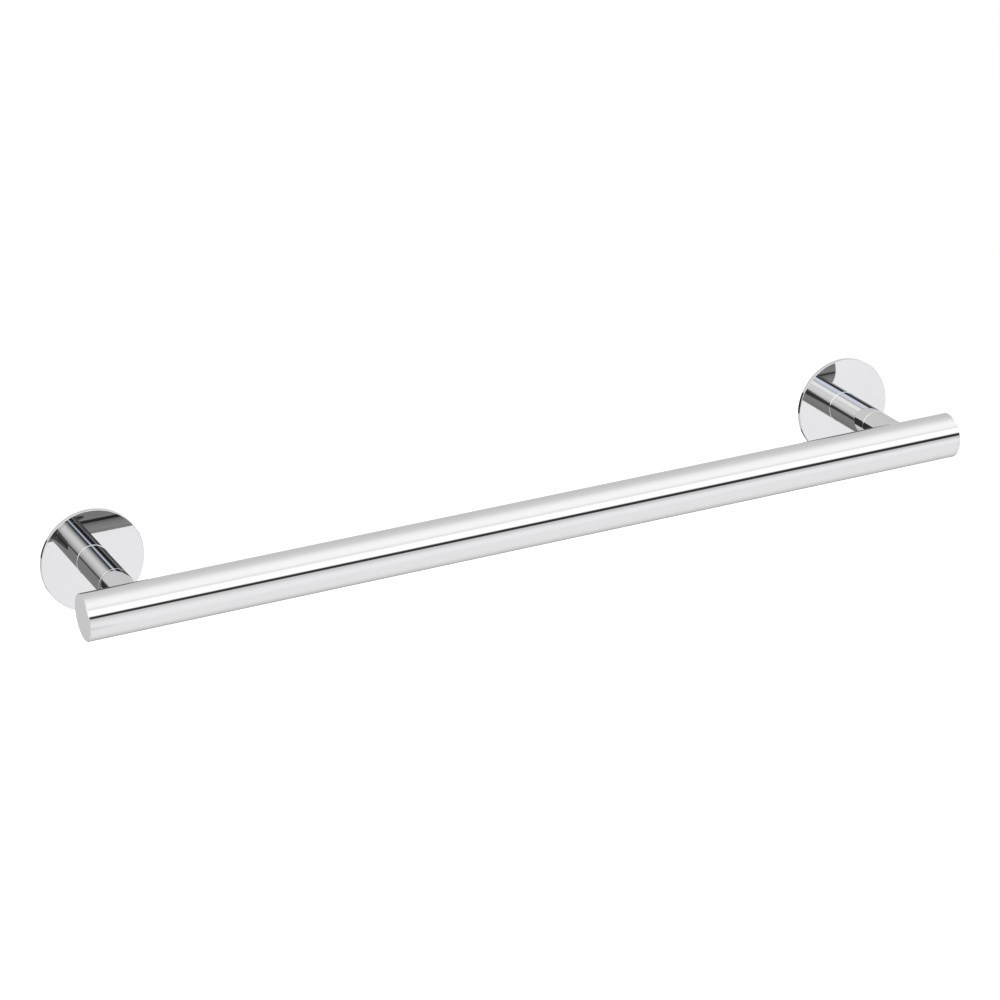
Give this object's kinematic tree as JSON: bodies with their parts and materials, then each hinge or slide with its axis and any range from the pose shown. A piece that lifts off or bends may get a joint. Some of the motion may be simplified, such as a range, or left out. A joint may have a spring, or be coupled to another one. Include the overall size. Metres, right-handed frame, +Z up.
{
  "type": "towel bar",
  "caption": "Wall-mounted towel bar: a round chrome bar carried across plain round posts on thin round flanges, with its fixings hidden inside.",
  "frame": {"origin": "on the wall's plane, midway between the centres of the two flanges", "axes": "+X along the bar, +Y into the wall, +Z up"},
  "size_m": [0.5146, 0.0863, 0.0574],
  "materials": {
    "polished_chrome": "mirror-polished chrome plating",
    "zinc_plated_plate": "stamped steel, clear zinc plating",
    "turned_steel": "turned steel with fine tool rings",
    "screw_steel": "blackened steel",
    "spring_steel": "spring steel",
    "insert_brass": "turned brass"
  },
  "bodies": {
    "root": {"bar": "polished_chrome", "left_end_cap": "polished_chrome", "right_end_cap": "polished_chrome", "left_wall_plate": "zinc_plated_plate", "left_hub": "turned_steel", "left_flange": "polished_chrome", "left_post": "polished_chrome", "left_set_screw": "screw_steel", "left_saddle": "polished_chrome", "left_lock_washer": "spring_steel", "left_joint_screw": "screw_steel", "left_bar_insert": "insert_brass", "right_wall_plate": "zinc_plated_plate", "right_hub": "turned_steel", "right_flange": "polished_chrome", "right_post": "polished_chrome", "right_set_screw": "screw_steel", "right_saddle": "polished_chrome", "right_lock_washer": "spring_steel", "right_joint_screw": "screw_steel", "right_bar_insert": "insert_brass"}
  },
  "joints": []
}
